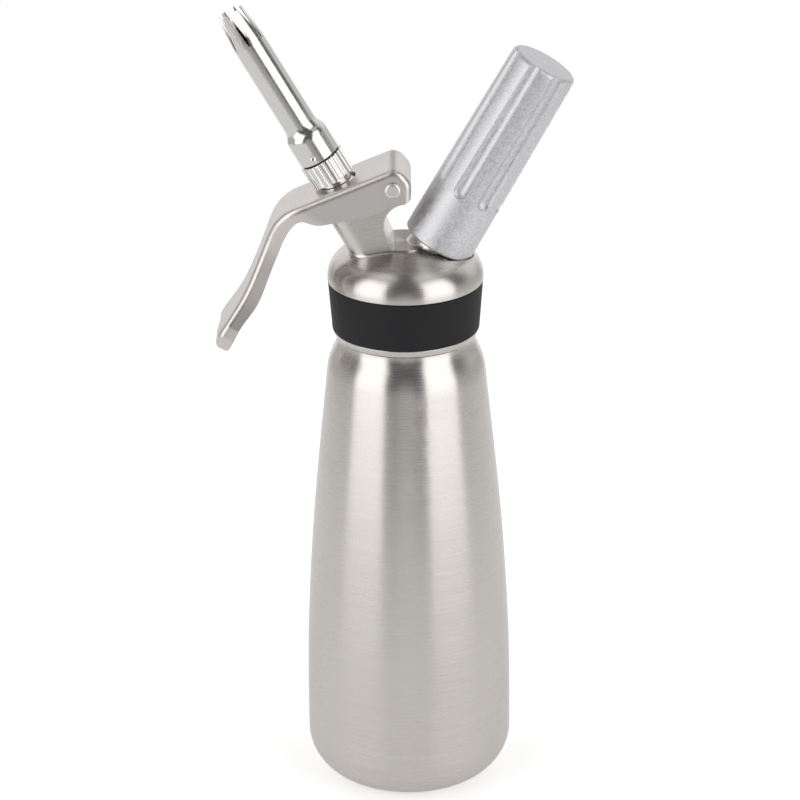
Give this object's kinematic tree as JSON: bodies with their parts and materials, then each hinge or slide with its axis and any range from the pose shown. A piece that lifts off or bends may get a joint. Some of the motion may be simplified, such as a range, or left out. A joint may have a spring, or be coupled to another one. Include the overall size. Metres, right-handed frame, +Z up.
{
  "type": "whipped cream dispenser",
  "caption": "Stainless whipped cream dispenser: bottle, screw-on head with squeeze lever and valve, slim star nozzle, and a fluted holder that screws a gas cartridge onto its pin.",
  "frame": {"origin": "centre of the bottle's flat base, on the surface it stands on", "axes": "+Z up along the bottle; the nozzle and lever lean to -X, the charger holder to +X; both arms lie in the XZ plane"},
  "size_m": [0.139, 0.082, 0.3234],
  "materials": {
    "bottle_steel": "fine lines round the bottle, satin",
    "head_steel": "satin, blasted and lightly brushed",
    "lever_steel": "satin sheet with polished bends",
    "bright_steel": "polished",
    "spring_steel": "drawn wire and ground pin, smooth",
    "charger_steel": "smooth drawn steel",
    "holder_aluminium": "bead-blasted, sparkling matte silver",
    "brass": "turned",
    "sintered_bronze": "porous, rough",
    "band_rubber": "smooth matte black",
    "food_rubber": "soft, matte",
    "cushion_plastic": "matte"
  },
  "bodies": {
    "bottle": {"bottle": "bottle_steel"},
    "gasket": {"head_gasket": "food_rubber"},
    "head": {"head_casting": "head_steel", "grip_band": "band_rubber", "pin_holder": "brass", "piercing_pin": "spring_steel", "charger_seal": "food_rubber", "check_valve_sleeve": "food_rubber", "inlet_filter": "sintered_bronze", "pin_holder_o_ring": "food_rubber", "valve_spring": "spring_steel"},
    "lever": {"lever": "lever_steel", "lever_pivot_rivet": "bright_steel"},
    "valve": {"valve_stem": "bright_steel", "valve_seal": "food_rubber", "stem_o_ring": "food_rubber", "valve_collar": "bright_steel", "tip_adapter": "bright_steel"},
    "nozzle_seat": {"nozzle_gasket": "food_rubber"},
    "nozzle": {"decorator_nozzle": "bright_steel"},
    "charger": {"gas_charger": "charger_steel", "charger_cushion": "cushion_plastic"},
    "holder": {"charger_holder": "holder_aluminium", "holder_thread_bush": "brass"}
  },
  "joints": [
    {"name": "head_lift", "type": "slide", "parent": "bottle", "child": "gasket", "axis": [0, 0, 1], "range_m": [0, 0.008]},
    {"name": "head_turn", "type": "hinge", "parent": "gasket", "child": "head", "pos_m": [0, 0, 0.2085], "axis": [0, 0, 1], "range_deg": [0, 720]},
    {"name": "lever_squeeze", "type": "hinge", "parent": "head", "child": "lever", "pos_m": [-0.0046, 0, 0.2535], "axis": [0, -1, 0], "range_deg": [0, 6.5], "stiffness_Nm_per_rad": 1.3, "springref_deg": -13.75},
    {"name": "valve_push", "type": "slide", "parent": "head", "child": "valve", "axis": [0.497, 0, -0.8678], "range_m": [0, 0.0022], "deforming": ["valve_spring"]},
    {"name": "nozzle_rise", "type": "slide", "parent": "valve", "child": "nozzle_seat", "axis": [-0.497, 0, 0.8678], "range_m": [0, 0.00825]},
    {"name": "nozzle_turn", "type": "hinge", "parent": "nozzle_seat", "child": "nozzle", "pos_m": [-0.03479, 0, 0.26719], "axis": [-0.497, 0, 0.8678], "range_deg": [0, 1980]},
    {"name": "charger_rise", "type": "slide", "parent": "head", "child": "charger", "axis": [0.4955, 0, 0.8686], "range_m": [0, 0.009]},
    {"name": "holder_turn", "type": "hinge", "parent": "charger", "child": "holder", "pos_m": [0.02973, 0, 0.25739], "axis": [0.4955, 0, 0.8686], "range_deg": [0, 1620]}
  ],
  "couplings": [
    {"joint": "head_lift", "follows": "head_turn", "m_per_rad": 0.00063662},
    {"joint": "valve_push", "follows": "lever_squeeze", "m_per_rad": 0.01939},
    {"joint": "nozzle_rise", "follows": "nozzle_turn", "m_per_rad": 0.00023873},
    {"joint": "charger_rise", "follows": "holder_turn", "m_per_rad": 0.00031831}
  ]
}
